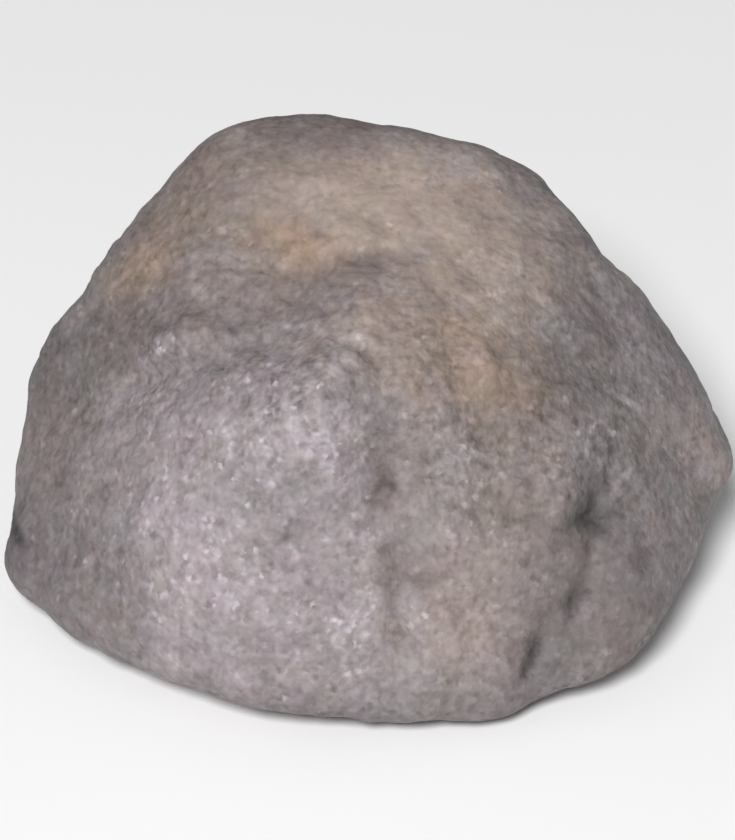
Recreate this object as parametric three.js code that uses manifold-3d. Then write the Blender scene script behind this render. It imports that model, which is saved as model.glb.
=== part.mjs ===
// A fist-sized block of grey-pink quartzite, one natural stone that lies on its flat underside.
//
// Units are millimetres, +Z is up, -Y is the side that shows best. The origin is under the middle of the
// stone, on the plane that it lies on. The block is what is left inside a set of broken faces, worn round
// where they meet. Flake scars, furrows, pits and ledges are then taken out of it, and lumps are added.
import * as THREE from "three";
import { mergeVertices } from "three/addons/utils/BufferGeometryUtils.js";
import { ImprovedNoise } from "three/addons/math/ImprovedNoise.js";
import Module from "manifold-3d";

// Driving dimensions
const viewElevation = 35; // degrees above the horizon from which the broken front is seen squarely
const heartHeight = 23.5; // height of the middle of the stone
const outlineMiddle = [-1, -0.2]; // middle of the outline seen from the front, from which marks are measured
const halfSize = new THREE.Vector3(46, 37, 29); // rough half width, depth and height, which space the mesh
const meshSplits = 20; // pieces that each edge of the starting icosahedron is split into, less one
const footRound = 3.5; // rounding of the edge around the underside
const bulgeSpread = 16; // how far the bulge of a broken face reaches from its middle
const weldGap = 1e-5; // points closer than this are one point
const surfaceStep = 1.5; // first step in the search for the surface, then halved
const surfaceHalvings = 18;

// The swell of the worn surface: size of its waves and their height
const swells = [
  { wave: 17, height: 0.9 },
  { wave: 8, height: 0.45 },
  { wave: 4.2, height: 0.2 },
];

const radians = THREE.MathUtils.degToRad;
const heart = new THREE.Vector3(0, 0, heartHeight);
const right = new THREE.Vector3(1, 0, 0);
const up = new THREE.Vector3(0, Math.sin(radians(viewElevation)), Math.cos(radians(viewElevation)));
const out = new THREE.Vector3(0, -Math.cos(radians(viewElevation)), Math.sin(radians(viewElevation)));

// A point given as it is seen from the front: across, up the view and out towards the eye.
const seen = (across, upward, outward) =>
  heart.clone().addScaledVector(right, across).addScaledVector(up, upward).addScaledVector(out, outward);

// A direction as seen from the front: clock is 0 to the right and 90 up the view, and face is how far it
// turns to the eye, from 0 for a face seen on edge to 90 for one seen squarely.
function turned(clock, face) {
  const flat = Math.cos(radians(face));
  return new THREE.Vector3()
    .addScaledVector(right, flat * Math.cos(radians(clock)))
    .addScaledVector(up, flat * Math.sin(radians(clock)))
    .addScaledVector(out, Math.sin(radians(face)));
}

// A direction on the table: bearing is 0 to the front, 90 to the right and 180 to the back.
function compass(bearing, elevation) {
  const level = Math.cos(radians(elevation));
  return new THREE.Vector3(
    level * Math.sin(radians(bearing)),
    -level * Math.cos(radians(bearing)),
    Math.sin(radians(elevation)),
  );
}
const at = (x, y, z) => new THREE.Vector3(x, y, z);

// The broken faces. Each passes through a point with its outward direction, bulges there above its own
// far parts, and meets the faces before it with a worn edge of the given softness.
const faces = [
  // the front: its left lobe, its right lobe and the ridge above them
  { point: seen(-14, -17, 26.5), outward: turned(-135, 70), bulge: 2, soft: 4 },
  { point: seen(12, -18, 24), outward: turned(-40, 71), bulge: 1.5, soft: 5 },
  { point: seen(14, 5, 26.5), outward: turned(35, 68), bulge: 1.5, soft: 5 },
  // the top, its right slope and its left slope
  { point: seen(-1, 26, 16.7), outward: turned(85, 52), bulge: 0.5, soft: 4 },
  { point: seen(17, 22, 16.5), outward: turned(59, 56), bulge: 1, soft: 5 },
  { point: seen(-22, 24, 15.2), outward: turned(133, 53), bulge: 1, soft: 3.5 },
  // the left end and the right end
  { point: seen(-35, -2, 9), outward: turned(168, 40), bulge: 1, soft: 6 },
  { point: seen(-33, -19, 17), outward: turned(-158, 46), bulge: 1, soft: 4 },
  { point: seen(33, -15, 14), outward: turned(4, 38), bulge: 1, soft: 3 },
  { point: seen(29, 9, 13), outward: turned(31, 48), bulge: 1, soft: 4 },
  // the rim of that view, clockwise from the top left
  { point: seen(-7, 38.4, 8), outward: turned(90, -12), bulge: 0.6, soft: 4 },
  { point: seen(9.4, 35.6, 8), outward: turned(74, -8), bulge: 0.3, soft: 4 },
  { point: seen(28, 24.7, 4), outward: turned(44, 0), bulge: 0.5, soft: 4 },
  { point: seen(39.6, 6.6, 0), outward: turned(30, 0), bulge: 0.3, soft: 3 },
  { point: seen(47.2, -4, -3), outward: turned(15, -4), bulge: 0.3, soft: 1.5 },
  { point: seen(36.9, -20.8, 0), outward: turned(-32, -6), bulge: 0.3, soft: 3 },
  { point: seen(29, -30, 8), outward: turned(-59, -8), bulge: 0.4, soft: 3 },
  { point: seen(13.6, -37.9, 15), outward: turned(-80, -8), bulge: 0.4, soft: 4 },
  { point: seen(-6.5, -36.4, 17), outward: turned(-98, -8), bulge: 0.3, soft: 4 },
  { point: seen(-27, -32.2, 9), outward: turned(-111, -8), bulge: 0.4, soft: 4 },
  { point: seen(-38.7, -27.9, 0), outward: turned(-125, -4), bulge: 0.2, soft: 2 },
  { point: seen(-45.2, -21.4, -4), outward: turned(-147, -4), bulge: 0.2, soft: 2 },
  { point: seen(-45, -3, -5), outward: turned(174, -2), bulge: 0, soft: 2 },
  { point: seen(-41, 11.1, -5), outward: turned(150, 0), bulge: 0.4, soft: 2 },
  { point: seen(-32.2, 22.8, -2), outward: turned(141, 0), bulge: 0.2, soft: 2 },
  { point: seen(-20.5, 38.2, 4), outward: turned(122, -5), bulge: 0.8, soft: 2 },
  // the back and the foot
  { point: at(0, 32, 30), outward: compass(178, 18), bulge: 1.5, soft: 5 },
  { point: at(-29, 25, 26), outward: compass(-140, 20), bulge: 1, soft: 4 },
  { point: at(30, 23, 24), outward: compass(132, 16), bulge: 1.5, soft: 5 },
  { point: at(-8, 28, 52), outward: compass(-165, 48), bulge: 1, soft: 4 },
  { point: at(3, 35, 7), outward: compass(176, -32), bulge: 1, soft: 4 },
  { point: at(-32, 26, 6), outward: compass(-138, -26), bulge: 1, soft: 4 },
  { point: at(30, 26, 6), outward: compass(138, -26), bulge: 1, soft: 4 },
  { point: at(0, 0, -0.8), outward: at(0, 0, -1), bulge: 0, soft: footRound },
];

const softMax = (a, b, soft) => Math.max(a, b) + Math.max(soft - Math.abs(a - b), 0) ** 2 / (4 * soft);

// Distance outside the plain block, negative within it.
function outsideBlock(p) {
  let d = -Infinity;
  for (const face of faces) {
    const spread = p.distanceToSquared(face.point) / bulgeSpread ** 2;
    const here = p.clone().sub(face.point).dot(face.outward) + face.bulge * (1 - Math.exp(-spread));
    d = d === -Infinity ? here : softMax(d, here, face.soft);
  }
  return d;
}

// Where a line from start along direction leaves a form, found by halving the last step out.
function leaves(form, start, direction) {
  const p = new THREE.Vector3();
  const inside = (reach) => form(p.copy(start).addScaledVector(direction, reach)) < 0;
  let near = 0;
  while (inside(near + surfaceStep)) near += surfaceStep;
  let far = near + surfaceStep;
  for (let i = 0; i < surfaceHalvings; i++) {
    const half = (near + far) / 2;
    if (inside(half)) near = half;
    else far = half;
  }
  return start.clone().addScaledVector(direction, (near + far) / 2);
}

// A point on the plain block as it shows at a place of the front view, or around the back.
const onFront = (across, upward) =>
  leaves(outsideBlock, seen(across + outlineMiddle[0], upward + outlineMiddle[1], 0), out);
const onBack = (bearing, elevation) => leaves(outsideBlock, heart, compass(bearing, elevation));

// Flake scars: a bowl of the given radius, cut to its depth below the face.
const scars = [
  // the band below the top, the chip under the nose at the right and the dent in the left slope
  { spot: onFront(-17, 13), outward: turned(100, 56), radius: 30, depth: 1.8, soft: 1.5 },
  { spot: seen(44.2, -12.8, -3), outward: turned(-22, 10), radius: 5, depth: 1.9, soft: 1 },
  { spot: seen(-35, 16.5, -3), outward: turned(140, 0), radius: 9, depth: 0.9, soft: 1 },
  // the back
  { spot: onBack(160, 12), outward: compass(165, 16), radius: 34, depth: 2.6, soft: 1.4 },
  { spot: onBack(-122, 8), outward: compass(-120, 10), radius: 24, depth: 2.2, soft: 1.2 },
  { spot: onBack(118, 35), outward: compass(115, 30), radius: 22, depth: 1.8, soft: 1.2 },
].map((scar) => ({
  ...scar,
  middle: scar.spot.clone().addScaledVector(scar.outward, scar.radius - scar.depth),
}));

// Hollows (depth over 0) and lumps (depth under 0) of the front, each along a chain of places in its view.
const marks = [
  // the furrow between the two lobes
  { chain: [[1.2, -2.5], [0.6, -8], [2, -15], [3.5, -21.5], [3.5, -28]], depth: 1, width: 2.4 },
  // the pit between the right lobe and the right end, and the cracks that run down from it
  { chain: [[28.4, -8.5], [27.4, -13]], depth: 1.7, width: 2.6 },
  { chain: [[26, -19], [24.4, -23.5]], depth: 1.1, width: 1.8 },
  { chain: [[21, -27], [19.4, -31]], depth: 1.3, width: 1.8 },
  // the hollow under the front edge of the top
  { chain: [[-9, 18.4], [-3, 19], [3, 19]], depth: 0.9, width: 2.2 },
  // the ledges that curve round the left lobe, one above it and two to its right
  { chain: [[-29, 3.5], [-23, 5.6], [-16, 7.8]], depth: 0.8, width: 1.8 },
  { chain: [[-3, 9.5], [2, 5.6], [1.6, 2]], depth: 0.6, width: 1.6 },
  { chain: [[8, 16], [9, 10], [12, 4], [15.4, -4]], depth: 0.6, width: 1.9 },
  // dents and swellings of the rim, clockwise from the nose at the right
  { chain: [[43, -5], [44.4, -6.1]], depth: -1.3, width: 3 },
  { chain: [[28.4, -30.2], [26.8, -31.4]], depth: 0.9, width: 6 },
  { chain: [[-34.4, -27.2], [-38, -24.4]], depth: -0.9, width: 3 },
  { chain: [[-44, -16.4], [-43.6, -13.4]], depth: -1, width: 2.6 },
  { chain: [[-41.8, -4.6], [-41.4, -1]], depth: 0.5, width: 2.6 },
  { chain: [[-40, 7.4], [-39.4, 9.4]], depth: -0.9, width: 3 },
  { chain: [[-24.4, 30.6], [-20, 34.6]], depth: -1, width: 5 },
  { chain: [[18, 30.4], [19.6, 29.4]], depth: 0.7, width: 4.5 },
  { chain: [[33.6, 13.6], [35.8, 10.4]], depth: 0.8, width: 5 },
  // lumps
  { chain: [[9, -10], [10, -19]], depth: -0.8, width: 4 },
  { chain: [[31, -19], [28, -25]], depth: -0.4, width: 4.5 },
  { chain: [[-24.5, 9], [-21, 9]], depth: -1, width: 2.6 },
  { chain: [[13, 8], [15, 4]], depth: -0.5, width: 2 },
];
const frontMarks = marks.map((mark) => ({
  ...mark,
  chain: mark.chain.map(([across, upward]) => onFront(across, upward)),
}));

function nearestOnChain(p, chain) {
  const segment = new THREE.Line3();
  const foot = new THREE.Vector3();
  let nearest = Infinity;
  for (let i = 0; i + 1 < chain.length; i++) {
    segment.set(chain[i], chain[i + 1]).closestPointToPoint(p, true, foot);
    nearest = Math.min(nearest, foot.distanceTo(p));
  }
  return nearest;
}

const noise = new ImprovedNoise();
function swell(p) {
  let rise = 0;
  for (const { wave, height } of swells) {
    rise += height * noise.noise(p.x / wave, p.y / wave, p.z / wave + wave);
  }
  return rise;
}

// Distance outside the finished stone.
function outsideStone(p) {
  let d = outsideBlock(p);
  for (const scar of scars) d = softMax(d, scar.radius - p.distanceTo(scar.middle), scar.soft);
  for (const mark of frontMarks) {
    const away = nearestOnChain(p, mark.chain) / mark.width;
    d += mark.depth * Math.exp(-(away ** 2));
  }
  return d + swell(p);
}

// The skin of the stone: a fine icosahedron whose points are moved out along their rays to the surface.
function skin() {
  const ball = new THREE.IcosahedronGeometry(1, meshSplits);
  ball.deleteAttribute("normal");
  ball.deleteAttribute("uv");
  const shape = mergeVertices(ball, weldGap);
  const points = shape.attributes.position;
  for (let i = 0; i < points.count; i++) {
    const ray = new THREE.Vector3().fromBufferAttribute(points, i).multiply(halfSize).normalize();
    const p = leaves(outsideStone, heart, ray);
    points.setXYZ(i, p.x, p.y, p.z);
  }
  return shape;
}

const wasm = await Module();
wasm.setup();

function solidFrom(geometry) {
  return new wasm.Manifold(
    new wasm.Mesh({
      numProp: 3,
      vertProperties: new Float32Array(geometry.attributes.position.array),
      triVerts: new Uint32Array(geometry.index.array),
    }),
  );
}

function geometryFrom(solid) {
  const mesh = solid.getMesh();
  const geometry = new THREE.BufferGeometry();
  geometry.setAttribute("position", new THREE.BufferAttribute(new Float32Array(mesh.vertProperties), 3));
  geometry.setIndex(new THREE.BufferAttribute(new Uint32Array(mesh.triVerts), 1));
  return geometry;
}

// Everything below the plane that the stone lies on is cut away, which leaves its flat underside.
function groundBlock() {
  const side = 300;
  const block = new THREE.BoxGeometry(side, side, side);
  block.translate(0, 0, -side / 2);
  block.deleteAttribute("normal");
  block.deleteAttribute("uv");
  return mergeVertices(block, weldGap);
}

const stoneGeometry = geometryFrom(solidFrom(skin()).subtract(solidFrom(groundBlock())));
stoneGeometry.computeBoundingBox();
const middle = stoneGeometry.boundingBox.getCenter(new THREE.Vector3());
stoneGeometry.translate(-middle.x, -middle.y, 0);
stoneGeometry.computeVertexNormals();

const quartzite = new THREE.Mesh(
  stoneGeometry,
  new THREE.MeshStandardMaterial({ color: "#938887", roughness: 0.8, metalness: 0 }),
);
quartzite.name = "quartzite_stone";

const stone = new THREE.Group();
stone.add(quartzite);
export default stone;
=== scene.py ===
import math

import bmesh
import bpy
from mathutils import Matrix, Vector


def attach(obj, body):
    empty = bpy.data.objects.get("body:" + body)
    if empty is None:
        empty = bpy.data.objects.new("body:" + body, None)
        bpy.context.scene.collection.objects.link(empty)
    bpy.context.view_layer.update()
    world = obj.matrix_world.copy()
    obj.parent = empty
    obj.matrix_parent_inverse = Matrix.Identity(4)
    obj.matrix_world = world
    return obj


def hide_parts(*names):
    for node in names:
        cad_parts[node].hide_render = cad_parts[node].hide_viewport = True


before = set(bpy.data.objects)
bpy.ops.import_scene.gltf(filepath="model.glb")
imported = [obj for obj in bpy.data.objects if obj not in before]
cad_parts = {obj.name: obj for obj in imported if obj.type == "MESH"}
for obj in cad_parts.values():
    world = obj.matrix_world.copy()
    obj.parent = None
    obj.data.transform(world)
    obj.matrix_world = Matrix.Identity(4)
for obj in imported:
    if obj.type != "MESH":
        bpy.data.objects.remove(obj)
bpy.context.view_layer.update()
mm = 0.001

# Detail and roughness of a noise that has finer waves in it
finer = (2.0, 0.6)


# Adds nodes to a tree and joins them. An input is a socket, a number, a vector or a colour.
class TreeMaker:
    def __init__(self, tree):
        self.tree = tree

    def join(self, value, socket):
        if isinstance(value, bpy.types.NodeSocket):
            self.tree.links.new(value, socket)
        else:
            socket.default_value = value

    def add(self, kind, inputs=(), **settings):
        node = self.tree.nodes.new(kind)
        for name, value in settings.items():
            setattr(node, name, value)
        pairs = inputs.items() if isinstance(inputs, dict) else enumerate(inputs)
        for key, value in pairs:
            self.join(value, node.inputs[key])
        return node

    def math(self, operation, *values):
        return self.add("ShaderNodeMath", values, operation=operation).outputs[0]

    def vector(self, operation, *values):
        node = self.add("ShaderNodeVectorMath", values, operation=operation)
        return node.outputs["Value" if operation in ("DOT_PRODUCT", "DISTANCE", "LENGTH") else "Vector"]

    def scaled(self, vector, factor):
        return self.add("ShaderNodeVectorMath", {0: vector, "Scale": factor}, operation="SCALE").outputs[0]

    def sum(self, *values):
        total = values[0]
        for value in values[1:]:
            total = self.math("ADD", total, value)
        return total

    def product(self, *values):
        total = values[0]
        for value in values[1:]:
            total = self.math("MULTIPLY", total, value)
        return total

    # 0 below low and top above high, or the other way round where low is the larger
    def rise(self, value, low, high, top=1.0):
        limits = (value, low, high, 0.0, top)
        node = self.add("ShaderNodeMapRange", limits, interpolation_type="SMOOTHSTEP", clamp=False)
        return node.outputs[0]

    def band(self, value, low, high, fade):
        start = self.rise(value, low - fade, low + fade)
        end = self.rise(value, high + fade, high - fade)
        return self.product(start, end)

    # 1 on the spot and 0 far from it
    def bell(self, distance, width):
        ratio = self.math("DIVIDE", distance, width)
        return self.math("EXPONENT", self.product(ratio, ratio, -1.0))

    # from -1 to 1, about, with waves of the given size
    def noise(self, vector, size, detail=1.0, roughness=0.5):
        node = self.add("ShaderNodeTexNoise", {"Vector": vector})
        self.join(self.math("DIVIDE", 1.0, size), node.inputs["Scale"])
        node.inputs["Detail"].default_value = detail
        node.inputs["Roughness"].default_value = roughness
        return self.product(self.math("SUBTRACT", node.outputs[0], 0.5), 2.0)

    def combine(self, x, y, z):
        return self.add("ShaderNodeCombineXYZ", (x, y, z)).outputs[0]

    # a colour over another, by its share
    def mixed(self, below, above, share):
        return self.add("ShaderNodeMix", {0: share, 6: below, 7: above}, data_type="RGBA").outputs[2]

    # small planes, each tilted its own way, from about -0.5 to 0.5
    def tilted(self, vector, size):
        cells = self.add("ShaderNodeTexVoronoi", {"Vector": vector}, feature="F1")
        self.join(self.math("DIVIDE", 1.0, size), cells.inputs["Scale"])
        fromCell = self.vector("SUBTRACT", vector, cells.outputs["Position"])
        tilt = self.vector("SUBTRACT", cells.outputs["Color"], (0.5, 0.5, 0.5))
        return self.math("DIVIDE", self.vector("DOT_PRODUCT", fromCell, tilt), self.product(size, 0.5))


# The view that the stone's front is described in: across, up the view and out towards the eye
viewElevation = math.radians(35)
heart = Vector((0.04, 0.12, 23.5)) * mm
viewUp = Vector((0, math.sin(viewElevation), math.cos(viewElevation)))
viewOut = Vector((0, -math.cos(viewElevation), math.sin(viewElevation)))

# Where the front begins, in millimetres towards the eye: its relief, its colours and the colours of its rim
reliefFrom = (-16.0, -8.0)
coloursFrom = (-14.0, -4.0)
rimFrom = (-36.0, -30.0)


# across, up and out of a position, in millimetres from the middle of the stone
def viewPlaces(maker, position):
    fromHeart = maker.scaled(maker.vector("SUBTRACT", position, tuple(heart)), 1 / mm)
    across = maker.vector("DOT_PRODUCT", fromHeart, (1, 0, 0))
    upward = maker.vector("DOT_PRODUCT", fromHeart, tuple(viewUp))
    outward = maker.vector("DOT_PRODUCT", fromHeart, tuple(viewOut))
    return across, upward, outward


# The stone's shape, in millimetres

stoneShape = {
    "Voxel": 0.53,
    "Skin depth": 0.8,
    "Smoothing": 9,
    "Swell": 0.1,
    "Lump height": 0.55,
    "Lump size": 6.5,
    "Chip height": 0.16,
    "Chip size": 2.4,
    "Facet height": 0.18,
    "Facet size": 2.6,
    "Ripple height": 0.5,
    "Ripple spacing": 3.4,
    "Hackle height": 0.15,
    "Mark depth": 1.0,
}

# Hollows and lumps of the front that are finer than the model's, each along a chain of places in its view
frontMarks = [
    # the furrow, deepest at its top
    {"chain": [(2.9, -2.6), (2.2, -4.6)], "depth": 0.3, "width": 1.0},
    {"chain": [(1.9, -3.6), (1.3, -6), (1.2, -10)], "depth": 0.9, "width": 1.4},
    {"chain": [(2.4, -14.6), (2.7, -18.7)], "depth": 0.6, "width": 1.3},
    {"chain": [(3.0, -21.5), (3.6, -27)], "depth": 0.45, "width": 1.3},
    # the pit's ragged floor and the cracks below it
    {"chain": [(27.6, -8.4), (27.2, -11.4), (25.6, -12.4)], "depth": 0.6, "width": 1.3},
    {"chain": [(27.2, -12.6), (29.2, -13.2), (30.6, -11)], "depth": 0.5, "width": 1.2},
    {"chain": [(29.8, -4.4), (29.2, -8)], "depth": 0.5, "width": 1.1},
    {"chain": [(26.6, -16), (26.4, -19), (24.7, -23.4)], "depth": 0.7, "width": 0.9},
    {"chain": [(20.3, -27.6), (19.2, -31.2)], "depth": 1.0, "width": 0.9},
    {"chain": [(33.2, -16.2), (33.6, -20)], "depth": 0.35, "width": 1.1},
    # the undercut of the top's front edge
    {"chain": [(-3.6, 18.4), (-1, 18.8), (1.6, 19.2)], "depth": 0.5, "width": 1.7},
    {"chain": [(-12, 17.4), (-6, 18)], "depth": 0.3, "width": 1.2},
    {"chain": [(1.6, 19.2), (6, 18.8), (7.6, 15.5)], "depth": 0.25, "width": 1.0},
    # small breaks of the top's right
    {"chain": [(12.3, 25.4), (14.4, 23.8)], "depth": 0.35, "width": 0.7},
    {"chain": [(17.6, 29.6), (20.4, 26.6)], "depth": 0.3, "width": 0.8},
    # ledges round the left lobe
    {"chain": [(-28.5, 3.6), (-23, 5.7), (-16, 7.7), (-11, 9)], "depth": 0.4, "width": 1.2},
    {"chain": [(-17, 11), (-12, 12.4), (-8, 12.2)], "depth": 0.4, "width": 1.1},
    {"chain": [(-10.5, 14.4), (-7, 13.6), (-4, 11)], "depth": 0.35, "width": 1.0},
    {"chain": [(-2.4, 9.4), (1, 7), (2.4, 4.4), (2, 1.6)], "depth": 0.3, "width": 1.1},
    {"chain": [(7.6, 16.4), (8.8, 11)], "depth": 0.15, "width": 1.5},
    {"chain": [(9.2, 8.8), (10.4, 4.6)], "depth": 0.2, "width": 1.3},
    {"chain": [(9.3, 4.4), (11.1, 0.6), (13.6, -3.2)], "depth": 0.6, "width": 1.4},
    {"chain": [(15, 8.6), (16.6, 5.2), (18, 3)], "depth": 0.15, "width": 1.2},
    # radial steps on the right of the ridge
    {"chain": [(19.4, 14.6), (22.4, 12.8)], "depth": 0.35, "width": 0.9},
    {"chain": [(19.6, 10.6), (23, 8.6)], "depth": 0.4, "width": 0.9},
    {"chain": [(19, 6.4), (22.8, 4.2)], "depth": 0.4, "width": 0.9},
    {"chain": [(25, 16), (29, 11)], "depth": 0.3, "width": 1.1},
    # the nick in the left corner
    {"chain": [(-43, -10.8), (-44.2, -13.5), (-45, -16)], "depth": 0.4, "width": 0.8},
    # small lumps
    {"chain": [(-24.6, 8.6), (-21.4, 9.8)], "depth": -0.3, "width": 2.4},
    {"chain": [(-17.2, 16.2), (-15.6, 16.4)], "depth": -0.4, "width": 1.1},
    {"chain": [(5.4, 18), (6.6, 17.2)], "depth": -0.35, "width": 1.1},
    {"chain": [(13.4, 8), (14.4, 5)], "depth": -0.2, "width": 1.6},
    {"chain": [(30.6, 3.4), (34.2, 1.3)], "depth": -0.35, "width": 0.8},
    {"chain": [(-10, -1), (-4, -4)], "depth": -0.5, "width": 3.0},
    {"chain": [(-23, -13), (-21, -22)], "depth": -0.4, "width": 3.5},
    # the nose at the right
    {"chain": [(43.4, -5.4), (44.8, -5.8)], "depth": -0.4, "width": 2.2},
]

# How the marks wander off their chains, and between which shares their depth changes along them
markEdges = {
    "wobbleSize": 4.0,
    "wobble": 1.6,
    "gapSize": 2.6,
    "gapFrom": (-0.45, 0.3),
    "least": 0.45,
    "more": 0.75,
}

# Rings and rays of the shell-shaped fracture, about a place in the view of the front. The clock is in degrees
# and its fade in radians.
rings = {
    "middle": (-13.0, -8.0),
    "reach": (16.0, 37.0),
    "reachFade": 3.0,
    "clock": (-8.0, 172.0),
    "clockFade": 0.25,
    "gapSize": 11.0,
    "gapFrom": (-0.4, 0.3),
    "warpSize": 7.0,
    "warp": 2.6,
    "ringBreaks": 2.8,  # how soon a ring changes along its length
    "ringWave": 0.5,
    "rayBreaks": 0.11,  # how soon a ray changes along its length
    "rayCount": 11.0,
    "rayWave": 0.6,
}

# Heights over which the relief sets in above the flat underside, and how near two points count as one
underside = (0.3, 3.0)
weldDistance = 0.001


# a chain of places as bare edges, on the view's own plane
def chainInTree(maker, chain):
    joined = maker.add("GeometryNodeJoinGeometry")
    for start, end in zip(chain, chain[1:]):
        line = maker.add("GeometryNodeCurvePrimitiveLine", {"Start": (*start, 0), "End": (*end, 0)})
        maker.tree.links.new(line.outputs[0], joined.inputs[0])
    return maker.add("GeometryNodeCurveToMesh", {"Curve": joined.outputs[0]}).outputs[0]


# ripples and hackles of the shell-shaped fracture
def ringRelief(maker, given, place, across, upward, facing):
    fromX = maker.math("SUBTRACT", across, rings["middle"][0])
    fromY = maker.math("SUBTRACT", upward, rings["middle"][1])
    ring = maker.math("SQRT", maker.sum(maker.product(fromX, fromX), maker.product(fromY, fromY)))
    clock = maker.math("ARCTAN2", fromY, fromX)
    clockFrom, clockTo = (math.radians(angle) for angle in rings["clock"])
    ringShare = maker.product(
        facing,
        maker.band(ring, *rings["reach"], rings["reachFade"]),
        maker.band(clock, clockFrom, clockTo, rings["clockFade"]),
        maker.rise(maker.noise(place, rings["gapSize"]), *rings["gapFrom"]),
    )
    warped = maker.math("ADD", ring, maker.product(maker.noise(place, rings["warpSize"]), rings["warp"]))
    spaced = maker.math("DIVIDE", warped, given["Ripple spacing"])
    along = maker.combine(maker.product(clock, rings["ringBreaks"]), spaced, 0.0)
    ripples = maker.product(maker.noise(along, rings["ringWave"]), given["Ripple height"], ringShare)
    drawnOut = maker.product(ring, rings["rayBreaks"])
    rays = maker.combine(maker.product(clock, rings["rayCount"]), drawnOut, 4.0)
    hackles = maker.product(maker.noise(rays, rings["rayWave"]), given["Hackle height"], ringShare)
    return ripples, hackles


# how deep the hollows and how high the lumps of the marks are, measured on the view's own plane
def markRelief(maker, place, across, upward, facing):
    elsewhere = maker.vector("ADD", place, (31, 7, 3))
    wobbles = []
    for spot in (place, elsewhere):
        wave = maker.noise(spot, markEdges["wobbleSize"], *finer)
        wobbles.append(maker.product(wave, markEdges["wobble"]))
    inView = maker.combine(maker.sum(across, wobbles[0]), maker.sum(upward, wobbles[1]), 0.0)
    uneven = maker.rise(maker.noise(elsewhere, markEdges["gapSize"]), *markEdges["gapFrom"])
    markShare = maker.product(facing, maker.sum(markEdges["least"], maker.product(uneven, markEdges["more"])))
    hollow = 0.0
    raised = 0.0
    for mark in frontMarks:
        edges = chainInTree(maker, mark["chain"])
        near = maker.add("GeometryNodeProximity", {"Geometry": edges}, target_element="EDGES")
        maker.join(inView, near.inputs["Sample Position"])
        bump = maker.product(maker.bell(near.outputs["Distance"], mark["width"]), mark["depth"], markShare)
        if mark["depth"] > 0:
            hollow = maker.math("ADD", hollow, bump)
        else:
            raised = maker.math("SUBTRACT", raised, bump)
    return hollow, raised


def stoneTree(material):
    tree = bpy.data.node_groups.new("Quartzite relief", "GeometryNodeTree")
    tree.interface.new_socket("Geometry", in_out="INPUT", socket_type="NodeSocketGeometry")
    for name, value in stoneShape.items():
        kind = "NodeSocketInt" if isinstance(value, int) else "NodeSocketFloat"
        tree.interface.new_socket(name, in_out="INPUT", socket_type=kind).default_value = value
    tree.interface.new_socket("Geometry", in_out="OUTPUT", socket_type="NodeSocketGeometry")
    maker = TreeMaker(tree)
    given = maker.add("NodeGroupInput").outputs

    # an even skin over the model, worn smooth over its facets
    depth = maker.product(given["Skin depth"], mm)
    filling = {
        "Mesh": given["Geometry"],
        "Voxel Size": maker.product(given["Voxel"], mm),
        "Interior Band Width": maker.product(depth, 2.0),
        "Density": 1.0,
    }
    filled = maker.add("GeometryNodeMeshToVolume", filling, resolution_mode="VOXEL_SIZE").outputs[0]
    skin = maker.add("GeometryNodeVolumeToMesh", {"Volume": filled, "Threshold": 0.5}).outputs[0]
    position = maker.add("GeometryNodeInputPosition").outputs[0]
    rounding = {"Value": position, "Iterations": given["Smoothing"]}
    rounded = maker.add("GeometryNodeBlurAttribute", rounding, data_type="FLOAT_VECTOR").outputs["Value"]
    skin = maker.add("GeometryNodeSetPosition", {"Geometry": skin, "Position": rounded}).outputs[0]

    place = maker.scaled(position, 1 / mm)
    across, upward, outward = viewPlaces(maker, position)
    facing = maker.rise(outward, *reliefFrom)

    # lumps, chips and small flat facets all over
    lumps = maker.product(maker.noise(place, given["Lump size"]), given["Lump height"])
    chips = maker.product(maker.noise(place, given["Chip size"], *finer), given["Chip height"])
    facets = maker.product(maker.tilted(place, given["Facet size"]), given["Facet height"])
    wearing = {"Value": facets, "Iterations": 2}
    facets = maker.add("GeometryNodeBlurAttribute", wearing, data_type="FLOAT").outputs["Value"]

    ripples, hackles = ringRelief(maker, given, place, across, upward, facing)
    hollow, raised = markRelief(maker, place, across, upward, facing)
    relief = maker.sum(lumps, chips, facets, ripples, hackles, raised)
    height = maker.math("SUBTRACT", relief, maker.product(hollow, given["Mark depth"]))
    # the flat underside stays flat
    level = maker.add("ShaderNodeSeparateXYZ", (place,)).outputs["Z"]
    height = maker.product(height, maker.rise(level, *underside))
    # the relief's height and the marks' depth are kept for the finish's painted light and shade
    kept = skin
    for name, value in (("hollow", hollow), ("relief", relief)):
        kept = maker.add(
            "GeometryNodeStoreNamedAttribute",
            {"Geometry": kept, "Name": name, "Value": value},
            data_type="FLOAT",
            domain="POINT",
        ).outputs[0]
    normal = maker.add("GeometryNodeInputNormal").outputs[0]
    outBy = maker.sum(depth, maker.product(maker.math("ADD", height, given["Swell"]), mm))
    moved = maker.vector("ADD", position, maker.scaled(normal, outBy))
    # nothing goes below the floor, and a metre is past every other side
    moved = maker.vector("MAXIMUM", moved, (-1.0, -1.0, 0.0))
    raisedSkin = maker.add("GeometryNodeSetPosition", {"Geometry": kept, "Position": moved}).outputs[0]
    smooth = maker.add("GeometryNodeSetShadeSmooth", {"Geometry": raisedSkin}).outputs[0]
    realized = maker.add("GeometryNodeRealizeInstances", {"Geometry": smooth}).outputs[0]
    finished = maker.add("GeometryNodeSetMaterial", {"Geometry": realized, "Material": material}).outputs[0]
    maker.add("NodeGroupOutput", (finished,))
    return tree


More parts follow.
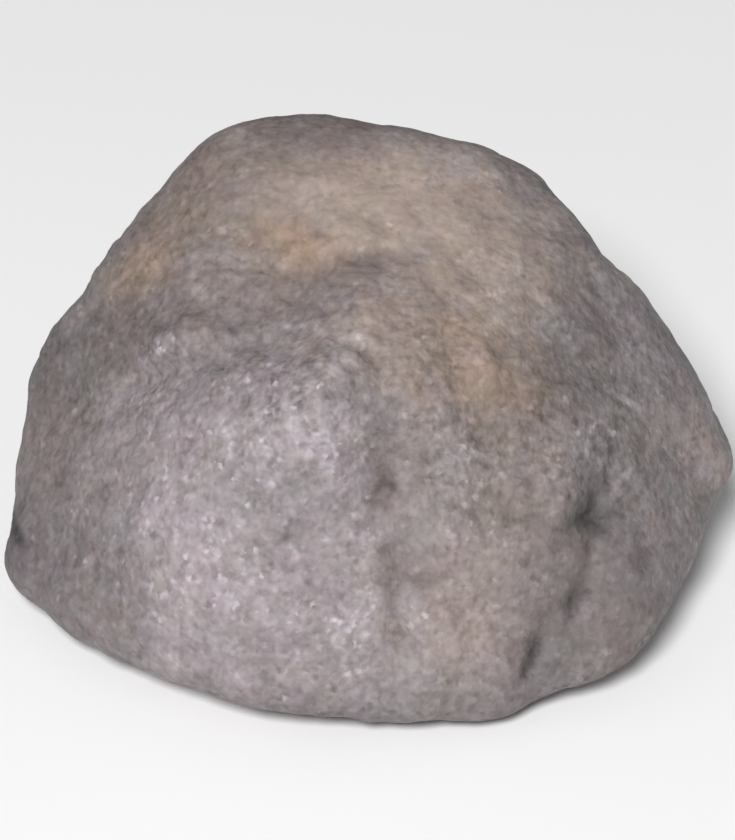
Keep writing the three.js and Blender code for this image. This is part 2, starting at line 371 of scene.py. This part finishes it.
def makeStone(material):
    print("stone: even skin and relief")
    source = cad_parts["quartzite_stone"]
    mesh = source.data.copy()
    work = bmesh.new()
    work.from_mesh(mesh)
    bmesh.ops.remove_doubles(work, verts=work.verts, dist=weldDistance * mm)
    work.to_mesh(mesh)
    work.free()
    rough = bpy.data.objects.new("stoneRough", mesh)
    bpy.context.scene.collection.objects.link(rough)
    modifier = rough.modifiers.new("Relief", "NODES")
    modifier.node_group = stoneTree(material)
    for item in modifier.node_group.interface.items_tree:
        if item.in_out == "INPUT" and item.name in stoneShape:
            modifier[item.identifier] = stoneShape[item.name]
    evaluated = rough.evaluated_get(bpy.context.evaluated_depsgraph_get())
    finished = bpy.data.meshes.new_from_object(evaluated)
    stone = bpy.data.objects.new("quartziteStone", finished)
    bpy.context.scene.collection.objects.link(stone)
    bpy.data.objects.remove(rough)
    print("stone:", len(finished.vertices), "points", len(finished.polygons), "faces")
    return stone


# The stone's finish: its colours and strengths, and sizes in millimetres

stoneLook = {
    "lilac": (0.354, 0.301, 0.32),
    "dusty": (0.275, 0.24, 0.25),
    "cream": (0.32, 0.27, 0.25),
    "grey": (0.195, 0.172, 0.172),
    "coolGrey": (0.16, 0.148, 0.147),
    "umber": (0.18, 0.149, 0.144),
    "brown": (0.205, 0.163, 0.143),
    "dark": (0.104, 0.094, 0.093),
    "nickShadow": (0.055, 0.048, 0.052),
    "plum": (0.135, 0.112, 0.12),
    "tan": (0.4, 0.318, 0.275),
    "ochre": (0.27, 0.2, 0.15),
    "orange": (0.33, 0.225, 0.155),
    "rose": (0.27, 0.208, 0.205),
    "salmon": (0.34, 0.268, 0.248),
    "pale": (0.42, 0.385, 0.39),
    "brightness": 0.87,
    "roughness": 0.6,
    "gloss": 0.3,
    "facetSize": 0.7,
    "facetBump": 0.06,
    "bump": 0.5,
    "patchFade": (1.7, 0.2),  # in half sizes of the patch
    "raggedSize": 4.5,
    "ragged": 1.1,
    "sharpBelow": 5,  # a patch narrower than this is less ragged
    "bendScale": 1.3,
    "bend": 0.9,
    "grainBody": (0.75, 0.1),  # from a grain's edge to its middle
    "grainLeast": 0.3,
    "spotLeast": 0.1,
    "clusterSize": 5.0,
    "clusterFrom": (-0.2, 0.5),
    "clusterShare": 0.5,
    "clusterMost": 1.2,
    # painted glints: how often and how bright the bright grains are
    "paintedGlintFrom": (0.92, 1.2),
    "paintedGlintByCluster": 0.4,
    "paintedGlintStrength": 0.6,
    "dullFrom": (0.65, 0.95),
    "dullByCluster": -0.2,
    "dullStrength": -0.07,
    "crinkleWidth": (0.32, 0.03),
    "crinkleByCluster": 0.8,
    # painted light on the relief and painted shade in the hollows
    "reliefShade": 0.2,
    "hollowFrom": (0.05, 1.1),
    "hollowShade": 0.35,
    "lilacByLight": 0.06,
    "lilacSize": 5.0,
    "lilacDrift": 0.035,
    "greenSize": 4.0,
    "greenDrift": 0.075,
}

# Slow drifts of colour over the whole stone, laid over its grey in this order
drifts = [
    {"colour": "dusty", "strength": 1.0, "from": (-0.5, 0.4), "size": 15.0, "rough": 0.6, "at": (0, 0, 0)},
    {"colour": "cream", "strength": 0.6, "from": (-0.1, 0.45), "size": 4.5, "rough": 0.65, "at": (13, 40, 2)},
    {"colour": "tan", "strength": 0.5, "from": (0.05, 0.5), "size": 15.0, "rough": 0.6, "at": (50, 20, 9)},
]

# Soft mottles of light and dark, and grains of their own shade: size in millimetres and strength
mottles = [(5.0, 0.1), (2.4, 0.16), (1.1, 0.15)]
grains = [(1.6, 0.09), (0.85, 0.15)]

# Thin crinkled lines, as of crystal edges: size in millimetres and strength, below 0 where dark
crinkles = [(2.5, 0.23), (1.6, 0.2), (2.0, -0.16)]

# Small waves of the grains' tooth: size in millimetres, strength and where they are taken from
toothWaves = [(1.0, 0.26, (5, 5, 5)), (2.6, 0.25, (9, 2, 6))]

# Soft patches of the front: middle across and up, half sizes, turn in degrees, colour and strength. Where rim
# is set, the patch reaches round the front's edge too.
patches = [
    # the left lobe, with two duller places in it
    {"middle": (-14, -16), "half": (15, 17), "turn": 10, "colour": "lilac", "strength": 0.8},
    # a faint lilac painted highlight on the lobe's top
    {"middle": (-7, -2), "half": (9, 7), "turn": 0, "colour": "lilac", "strength": 0.1},
    {"middle": (-13, -8.5), "half": (8, 5.5), "turn": 20, "colour": "dusty", "strength": 0.85},
    {"middle": (-10, -14), "half": (5, 9), "turn": -10, "colour": "dusty", "strength": 0.7},
    {"middle": (-6, -18), "half": (4, 6), "turn": 0, "colour": "dusty", "strength": 0.3},
    {"middle": (-8, -11), "half": (4.5, 6), "turn": 0, "colour": "grey", "strength": 0.35},
    {"middle": (-17.8, -26.8), "half": (3.5, 3), "turn": 0, "colour": "dusty", "strength": 0.8},
    {"middle": (-16.5, -10.5), "half": (3.5, 6), "turn": 0, "colour": "grey", "strength": 0.3},
    {"middle": (-9.2, -25), "half": (3.5, 3), "turn": 0, "colour": "dusty", "strength": 0.6},
    {"middle": (-11, 5), "half": (3.5, 3), "turn": 0, "colour": "lilac", "strength": 0.5},
    {"middle": (-23, -4), "half": (4, 3), "turn": 0, "colour": "lilac", "strength": 0.5},
    # the right lobe
    {"middle": (11, -19), "half": (11, 13), "turn": 0, "colour": "cream", "strength": 0.5},
    {"middle": (12.5, -25), "half": (5, 10), "turn": 0, "colour": "salmon", "strength": 0.5},
    {"middle": (15.8, -1.4), "half": (3.5, 4), "turn": 0, "colour": "umber", "strength": 0.65},
    {"middle": (5.6, -17.6), "half": (3, 4), "turn": 0, "colour": "umber", "strength": 0.6},
    {"middle": (15.5, -33.2), "half": (5, 3), "turn": 0, "colour": "grey", "strength": 0.5},
    {"middle": (11.5, -9.5), "half": (3, 5.5), "turn": 0, "colour": "grey", "strength": 0.45},
    {"middle": (9.2, -28), "half": (3, 3.5), "turn": 0, "colour": "brown", "strength": 0.35},
    {"middle": (3.4, 4.2), "half": (2.4, 2.4), "turn": 0, "colour": "umber", "strength": 0.45},
    {"middle": (5, -7.2), "half": (2.4, 3.4), "turn": 0, "colour": "umber", "strength": 0.6},
    {"middle": (17.5, -10), "half": (7, 4), "turn": 0, "colour": "brown", "strength": 0.5},
    # the top and the ridge
    {"middle": (1, 27), "half": (17, 7), "turn": -8, "colour": "tan", "strength": 0.95},
    {"middle": (15, 18), "half": (10, 8), "turn": -45, "colour": "tan", "strength": 0.75},
    {"middle": (-22.5, 24), "half": (4, 4), "turn": 0, "colour": "tan", "strength": 0.4},
    {"middle": (2.5, 9.5), "half": (5, 6), "turn": 0, "colour": "tan", "strength": 0.35},
    {"middle": (-9, 18.5), "half": (10, 5), "turn": 0, "colour": "ochre", "strength": 0.45},
    {"middle": (6, 10.5), "half": (6, 9), "turn": 20, "colour": "ochre", "strength": 0.4},
    {"middle": (14, 3.5), "half": (9, 6), "turn": -30, "colour": "ochre", "strength": 0.4},
    # a painted shadow under the top's front edge
    {"middle": (0.6, 18.8), "half": (4, 1.2), "turn": 3, "colour": "umber", "strength": 0.6},
    {"middle": (-19, 29), "half": (9, 8), "turn": 40, "colour": "brown", "strength": 0.7},
    {"middle": (-5, 36), "half": (10, 4), "turn": 0, "colour": "umber", "strength": 0.8},
    # rust, and a brown round it
    {"middle": (-27.5, 18), "half": (9, 6), "turn": 50, "colour": "brown", "strength": 0.55},
    {"middle": (-8.5, 20.8), "half": (5, 3.2), "turn": -10, "colour": "orange", "strength": 0.7},
    {"middle": (-27.5, 18), "half": (5.5, 3), "turn": 50, "colour": "orange", "strength": 0.5},
    {"middle": (13.2, 6.6), "half": (6, 3.4), "turn": -40, "colour": "orange", "strength": 0.5},
    {"middle": (20, 2.6), "half": (4, 2.2), "turn": -30, "colour": "ochre", "strength": 0.6},
    # the band below the top, and the left end, darkened partly by their own colour and partly by painted
    # shade
    {"middle": (-20, 13), "half": (14, 5), "turn": 15, "colour": "umber", "strength": 0.6},
    {"middle": (-31.5, 9.5), "half": (8, 4), "turn": 25, "colour": "umber", "strength": 0.9},
    {"middle": (-41, 2), "half": (6, 16), "turn": -5, "colour": "grey", "strength": 0.9},
    {"middle": (-39.5, 3.5), "half": (4.5, 9), "turn": 0, "colour": "coolGrey", "strength": 0.95},
    {"middle": (-40.3, 2.5), "half": (2.6, 7), "turn": 0, "colour": "dark", "strength": 0.45},
    {"middle": (-39.5, -3), "half": (4.5, 9), "turn": 0, "colour": "rose", "strength": 0.45},
    {"middle": (-44, -16), "half": (2.8, 5), "turn": -15, "colour": "plum", "strength": 0.9},
    {"middle": (-36, -18), "half": (9, 10), "turn": 30, "colour": "grey", "strength": 0.6},
    {"middle": (-40.5, -19), "half": (4, 3.5), "turn": -30, "colour": "plum", "strength": 0.35},
    # a painted shadow in the nick of the left corner, reaching round the rim
    {"middle": (-44.1, -13.9), "half": (0.8, 2.5), "turn": 28, "colour": "nickShadow", "strength": 1.0, "rim": True},
    # the right end, the pit and the cracks
    # a cool grey over the right end, partly its own tone and partly painted shade of the side turned from the
    # light
    {"middle": (26, 12), "half": (7, 20), "turn": 20, "colour": "coolGrey", "strength": 0.25},
    {"middle": (30, -3), "half": (4, 5), "turn": -20, "colour": "coolGrey", "strength": 0.5},
    {"middle": (27.5, 9), "half": (4.5, 5), "turn": 0, "colour": "umber", "strength": 0.6},
    {"middle": (24.2, 10.5), "half": (2.6, 2.6), "turn": 0, "colour": "coolGrey", "strength": 0.5},
    {"middle": (34.5, -2), "half": (4, 2.6), "turn": 0, "colour": "cream", "strength": 0.4},
    {"middle": (41.5, -4), "half": (3, 5), "turn": 0, "colour": "cream", "strength": 0.25},
    {"middle": (24.5, 1.5), "half": (6, 4), "turn": -20, "colour": "umber", "strength": 0.6},
    {"middle": (26.4, 2.8), "half": (3.5, 3), "turn": 0, "colour": "coolGrey", "strength": 0.5},
    {"middle": (29, -17.5), "half": (5, 4), "turn": 0, "colour": "umber", "strength": 0.7},
    {"middle": (24.5, -18.5), "half": (6, 7), "turn": -20, "colour": "umber", "strength": 0.9},
    {"middle": (22.5, -26), "half": (4.5, 9), "turn": -25, "colour": "umber", "strength": 0.85},
    {"middle": (23.8, -28), "half": (3.5, 3.5), "turn": 0, "colour": "coolGrey", "strength": 0.5},
    {"middle": (31, -24), "half": (8, 8), "turn": 0, "colour": "grey", "strength": 0.7},
    {"middle": (31, -26), "half": (6, 5), "turn": 20, "colour": "umber", "strength": 0.85},
    # painted shade in the pit and along two cracks below it
    {"middle": (27.8, -8.6), "half": (1.8, 2.2), "turn": 0, "colour": "dark", "strength": 0.8},
    {"middle": (27.3, -12), "half": (3.3, 2.6), "turn": 8, "colour": "dark", "strength": 1.0},
    {"middle": (24.9, -22.3), "half": (1.2, 2.6), "turn": -25, "colour": "dark", "strength": 0.8},
    {"middle": (19.7, -29.4), "half": (1.1, 2.4), "turn": -15, "colour": "dark", "strength": 0.8},
    # pale scratches right of the ridge
    {"middle": (31.6, 2.2), "half": (2.8, 0.4), "turn": -28, "colour": "pale", "strength": 0.6},
    {"middle": (31.4, -7), "half": (1.3, 0.4), "turn": 45, "colour": "pale", "strength": 0.6},
    {"middle": (20.8, 10.2), "half": (1.6, 0.4), "turn": -45, "colour": "pale", "strength": 0.4},
    # the furrow and the bottom rim, darkened with painted shade
    {"middle": (1.5, -6.2), "half": (1.9, 5), "turn": 0, "colour": "umber", "strength": 0.9},
    {"middle": (2.9, -17.5), "half": (1.8, 6), "turn": 0, "colour": "umber", "strength": 0.5},
    {"middle": (8, -36), "half": (22, 3), "turn": 8, "colour": "grey", "strength": 0.7},
]

# Places of the front where bright grains gather, as painted glints
paintedGlintPlaces = [
    {"middle": (-14, -12), "half": (16, 14), "turn": 0, "strength": 0.35},
    {"middle": (-5, -2), "half": (5, 3), "turn": -20, "strength": 0.6},
    {"middle": (-22, -15), "half": (6, 7), "turn": 0, "strength": 0.4},
    {"middle": (-1.5, -27.5), "half": (2.6, 5), "turn": 0, "strength": 0.8},
    {"middle": (4.6, -23.5), "half": (2.5, 2.5), "turn": 0, "strength": 0.5},
    {"middle": (10.5, -6.5), "half": (4, 7), "turn": 0, "strength": 0.5},
    {"middle": (-16.4, 22.3), "half": (2, 1.2), "turn": 0, "strength": 0.9},
    {"middle": (-24, 9), "half": (4, 2), "turn": 20, "strength": 0.5},
    {"middle": (3.5, 18.5), "half": (2, 1.5), "turn": 0, "strength": 0.6},
    {"middle": (28, -1.5), "half": (4, 3), "turn": 0, "strength": 0.5},
]

# Places of the front where the grain is rougher, or rubbed faint where the strength is below 0
wear = [
    {"middle": (2, 24.5), "half": (20, 9), "turn": -8, "strength": -0.45},
    {"middle": (28, -21), "half": (8, 7), "turn": 0, "strength": -0.25},
    {"middle": (-20, -12), "half": (5, 6), "turn": 0, "strength": -0.15},
    {"middle": (-8, 0), "half": (9, 8), "turn": 0, "strength": 0.4},
    {"middle": (-26, 6), "half": (9, 7), "turn": 20, "strength": 0.25},
    {"middle": (10.5, -3.5), "half": (5, 5), "turn": 0, "strength": 0.35},
    {"middle": (27, -3), "half": (7, 6), "turn": 0, "strength": 0.35},
]


# What the finish is worked out from: the place on the stone, and where that is in the view of the front
class FinishPlaces:
    def __init__(self, maker):
        position = maker.add("ShaderNodeTexCoord").outputs["Object"]
        self.maker = maker
        self.place = maker.scaled(position, 1 / mm)
        self.across, self.upward, outward = viewPlaces(maker, position)
        self.front = maker.rise(outward, *coloursFrom)
        self.rim = maker.rise(outward, *rimFrom)
        ragged = maker.noise(self.place, stoneLook["raggedSize"], detail=4.0, roughness=0.65)
        self.ragged = maker.product(ragged, stoneLook["ragged"])

    def moved(self, x, y, z):
        return self.maker.vector("ADD", self.place, (x, y, z))

    # 1 in the middle of a patch of the front and 0 outside it, with a ragged edge. It is made of single
    # numbers, because the renderer can't hold a vector for every patch.
    def within(self, patch):
        maker = self.maker
        turn = math.radians(patch["turn"])
        x, y = patch["middle"]
        turned = ((math.cos(turn), math.sin(turn)), (-math.sin(turn), math.cos(turn)))
        flat = []
        for half, (a, b) in zip(patch["half"], turned):
            along = maker.math("MULTIPLY_ADD", self.upward, b / half, -(x * a + y * b) / half)
            flat.append(maker.math("MULTIPLY_ADD", self.across, a / half, along))
        squares = maker.math("MULTIPLY_ADD", flat[0], flat[0], maker.product(flat[1], flat[1]))
        edge = min(1.0, min(patch["half"]) / stoneLook["sharpBelow"])
        reach = maker.math("MULTIPLY_ADD", self.ragged, edge, maker.math("SQRT", squares))
        share = maker.rise(reach, *stoneLook["patchFade"], patch["strength"])
        return maker.product(share, self.rim if patch.get("rim") else self.front)


# grey, drifting to lilac, cream and rust, with the front's patches over it
def stoneColour(places):
    maker = places.maker
    colour = (*stoneLook["grey"], 1)
    for drift in drifts:
        waves = maker.noise(places.moved(*drift["at"]), drift["size"], detail=3.0, roughness=drift["rough"])
        share = maker.rise(waves, *drift["from"], drift["strength"])
        colour = maker.mixed(colour, (*stoneLook[drift["colour"]], 1), share)
    for patch in patches:
        colour = maker.mixed(colour, (*stoneLook[patch["colour"]], 1), places.within(patch))
    return colour


# the sugary grain: soft mottles, grains of their own shade with bright and dull ones, the bright ones painted
# glints, and crinkled lines
def grainLight(places):
    maker = places.maker
    light = 0.0
    for step, (size, strength) in enumerate(mottles):
        mottle = maker.noise(places.moved(3 + 5 * step, 8, 1), size)
        light = maker.math("ADD", light, maker.product(mottle, strength))

    gathering = maker.noise(places.moved(7, 1, 30), stoneLook["clusterSize"], *finer)
    cluster = maker.rise(gathering, *stoneLook["clusterFrom"], stoneLook["clusterShare"])
    # the painted glints gather more at the listed places
    for glint in paintedGlintPlaces:
        cluster = maker.math("ADD", cluster, places.within(glint))

    bends = {"Vector": places.place, "Scale": stoneLook["bendScale"]}
    bent = maker.scaled(maker.add("ShaderNodeTexNoise", bends).outputs["Color"], stoneLook["bend"])
    for step, (size, strength) in enumerate(grains):
        spots = {"Vector": maker.vector("ADD", places.moved(6 * step, 2, 5), bent), "Scale": 1 / size}
        cells = maker.add("ShaderNodeTexVoronoi", spots, feature="F1")
        body = maker.rise(cells.outputs["Distance"], *stoneLook["grainBody"])
        shade, chance, dullness = maker.add("ShaderNodeSeparateColor", (cells.outputs["Color"],)).outputs[:3]
        shade = maker.math("SUBTRACT", shade, 0.5)
        seen = maker.math("ADD", body, stoneLook["grainLeast"])
        light = maker.math("ADD", light, maker.product(shade, seen, 2 * strength))

    # of the smallest grains some are painted bright as glints, most of all where they gather, and some dull
    gathered = maker.math("MINIMUM", cluster, stoneLook["clusterMost"])
    paintedGlint = maker.math("ADD", chance, maker.product(gathered, stoneLook["paintedGlintByCluster"]))
    dull = maker.math("ADD", dullness, maker.product(cluster, stoneLook["dullByCluster"]))
    spot = maker.math("ADD", body, stoneLook["spotLeast"])
    paintedGlint = maker.product(maker.rise(paintedGlint, *stoneLook["paintedGlintFrom"]), spot, stoneLook["paintedGlintStrength"])
    dull = maker.product(maker.rise(dull, *stoneLook["dullFrom"]), spot, stoneLook["dullStrength"])
    light = maker.sum(light, paintedGlint, dull)

    # bright crinkles are faint outside the clusters
    byCluster = stoneLook["crinkleByCluster"]
    share = maker.math("MULTIPLY_ADD", maker.math("MINIMUM", cluster, 1.0), byCluster, 1 - byCluster)
    for step, (size, strength) in enumerate(crinkles):
        fromLine = maker.math("ABSOLUTE", maker.noise(places.moved(11, 4 + 7 * step, 8), size))
        line = maker.rise(fromLine, *stoneLook["crinkleWidth"], strength)
        light = maker.math("ADD", light, maker.product(line, share) if strength > 0 else line)
    return light


def makeMaterial():
    print("stone: finish")
    material = bpy.data.materials.new("quartzite")
    material.use_nodes = True
    tree = material.node_tree
    tree.nodes.clear()
    maker = TreeMaker(tree)
    places = FinishPlaces(maker)
    colour = stoneColour(places)
    rubbed = maker.sum(1.0, *(places.within(patch) for patch in wear))

    # grain, with painted light on the relief and painted shade in its hollows
    relief = maker.add("ShaderNodeAttribute", attribute_name="relief").outputs["Fac"]
    relief = maker.math("MINIMUM", maker.math("MAXIMUM", relief, -1.0), 1.0)
    hollow = maker.add("ShaderNodeAttribute", attribute_name="hollow").outputs["Fac"]
    shaded = maker.rise(hollow, *stoneLook["hollowFrom"], stoneLook["hollowShade"])
    grain = maker.product(grainLight(places), rubbed)
    light = maker.sum(1.0, grain, maker.product(relief, stoneLook["reliefShade"]))
    light = maker.product(light, maker.math("SUBTRACT", 1.0, shaded), stoneLook["brightness"])

    # lighter grains lean to lilac and darker ones to brown, with slow drifts to lilac and to green
    lilac = maker.noise(places.moved(4, 8, 1), stoneLook["lilacSize"], *finer)
    green = maker.noise(places.moved(2, 9, 4), stoneLook["greenSize"], *finer)
    byLight = maker.product(maker.math("SUBTRACT", light, stoneLook["brightness"]), stoneLook["lilacByLight"])
    tint = maker.sum(byLight, maker.product(lilac, stoneLook["lilacDrift"]))
    shares = (
        maker.math("SUBTRACT", 1.0, tint),
        maker.math("ADD", 1.0, maker.product(green, stoneLook["greenDrift"])),
        maker.math("ADD", 1.0, tint),
    )
    tinted = maker.combine(*(maker.product(light, share) for share in shares))
    colour = maker.vector("MULTIPLY", colour, tinted)

    # the tooth of the grains
    tooth = maker.product(maker.tilted(places.place, stoneLook["facetSize"]), stoneLook["facetBump"])
    for size, strength, at in toothWaves:
        tooth = maker.sum(tooth, maker.product(maker.noise(places.moved(*at), size), strength))
    bumps = {"Height": tooth, "Distance": 1 * mm, "Strength": maker.product(rubbed, stoneLook["bump"])}
    finish = {
        "Base Color": colour,
        "Roughness": stoneLook["roughness"],
        "Specular IOR Level": stoneLook["gloss"],
        "Normal": maker.add("ShaderNodeBump", bumps).outputs[0],
    }
    shader = maker.add("ShaderNodeBsdfPrincipled", finish).outputs[0]
    maker.add("ShaderNodeOutputMaterial", {"Surface": shader})
    return material


stone = makeStone(makeMaterial())
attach(stone, "root")
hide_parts("quartzite_stone")


# Floor, light and camera, in metres. The key light's place is in degrees from the camera's.

studio = {
    "floorHalf": 3.0,
    "floorColour": (0.95, 0.95, 0.95, 1),
    "floorRoughness": 0.9,
    "keyPower": 26.0,
    "keySize": 0.4,
    "keyDistance": 1.6,
    "keyLeft": 10.0,
    "keyAbove": 9.0,
    "worldStrength": 0.25,
    "cameraDistance": 0.6,
    "pixelsHigh": 840,
    "pixelsPerMm": 8.0,
    "aimBelow": 0.25,  # millimetres, as the next
    "sensorWidth": 36.0,
    "nearest": 0.01,
}

print("studio")
floorMesh = bpy.data.meshes.new("floor")
floorHalf = studio["floorHalf"]
corners = [(x * floorHalf, y * floorHalf, 0) for x, y in ((-1, -1), (1, -1), (1, 1), (-1, 1))]
floorMesh.from_pydata(corners, [], [(0, 1, 2, 3)])
floor = bpy.data.objects.new("floor", floorMesh)
bpy.context.scene.collection.objects.link(floor)
floorMaterial = bpy.data.materials.new("paleFloor")
floorMaterial.use_nodes = True
floorShader = floorMaterial.node_tree.nodes["Principled BSDF"]
floorShader.inputs["Base Color"].default_value = studio["floorColour"]
floorShader.inputs["Roughness"].default_value = studio["floorRoughness"]
floorMesh.materials.append(floorMaterial)


def lookFrom(thing, direction, distance, target):
    thing.location = target + direction.normalized() * distance
    thing.rotation_mode = "QUATERNION"
    thing.rotation_quaternion = direction.to_track_quat("Z", "Y")


keyLight = bpy.data.lights.new("key", "AREA")
keyLight.shape = "DISK"
keyLight.size = studio["keySize"]
keyLight.energy = studio["keyPower"]
key = bpy.data.objects.new("key", keyLight)
bpy.context.scene.collection.objects.link(key)
left = math.radians(studio["keyLeft"])
above = viewElevation + math.radians(studio["keyAbove"])
level = math.cos(above)
keyFrom = Vector((-math.sin(left) * level, -math.cos(left) * level, math.sin(above)))
lookFrom(key, keyFrom, studio["keyDistance"], heart)

world = bpy.data.worlds.new("studio")
bpy.context.scene.world = world
world.use_nodes = True
worldShade = world.node_tree.nodes["Background"]
worldShade.inputs["Color"].default_value = (1, 1, 1, 1)
worldShade.inputs["Strength"].default_value = studio["worldStrength"]

cameraData = bpy.data.cameras.new("camera")
cameraData.sensor_width = studio["sensorWidth"]
fieldHeight = studio["pixelsHigh"] / studio["pixelsPerMm"] * mm
cameraData.lens = cameraData.sensor_width * studio["cameraDistance"] / fieldHeight
cameraData.clip_start = studio["nearest"]
camera = bpy.data.objects.new("camera", cameraData)
bpy.context.scene.collection.objects.link(camera)
lookFrom(camera, viewOut, studio["cameraDistance"], heart - viewUp * studio["aimBelow"] * mm)
bpy.context.scene.camera = camera
bpy.context.scene.view_settings.view_transform = "Standard"
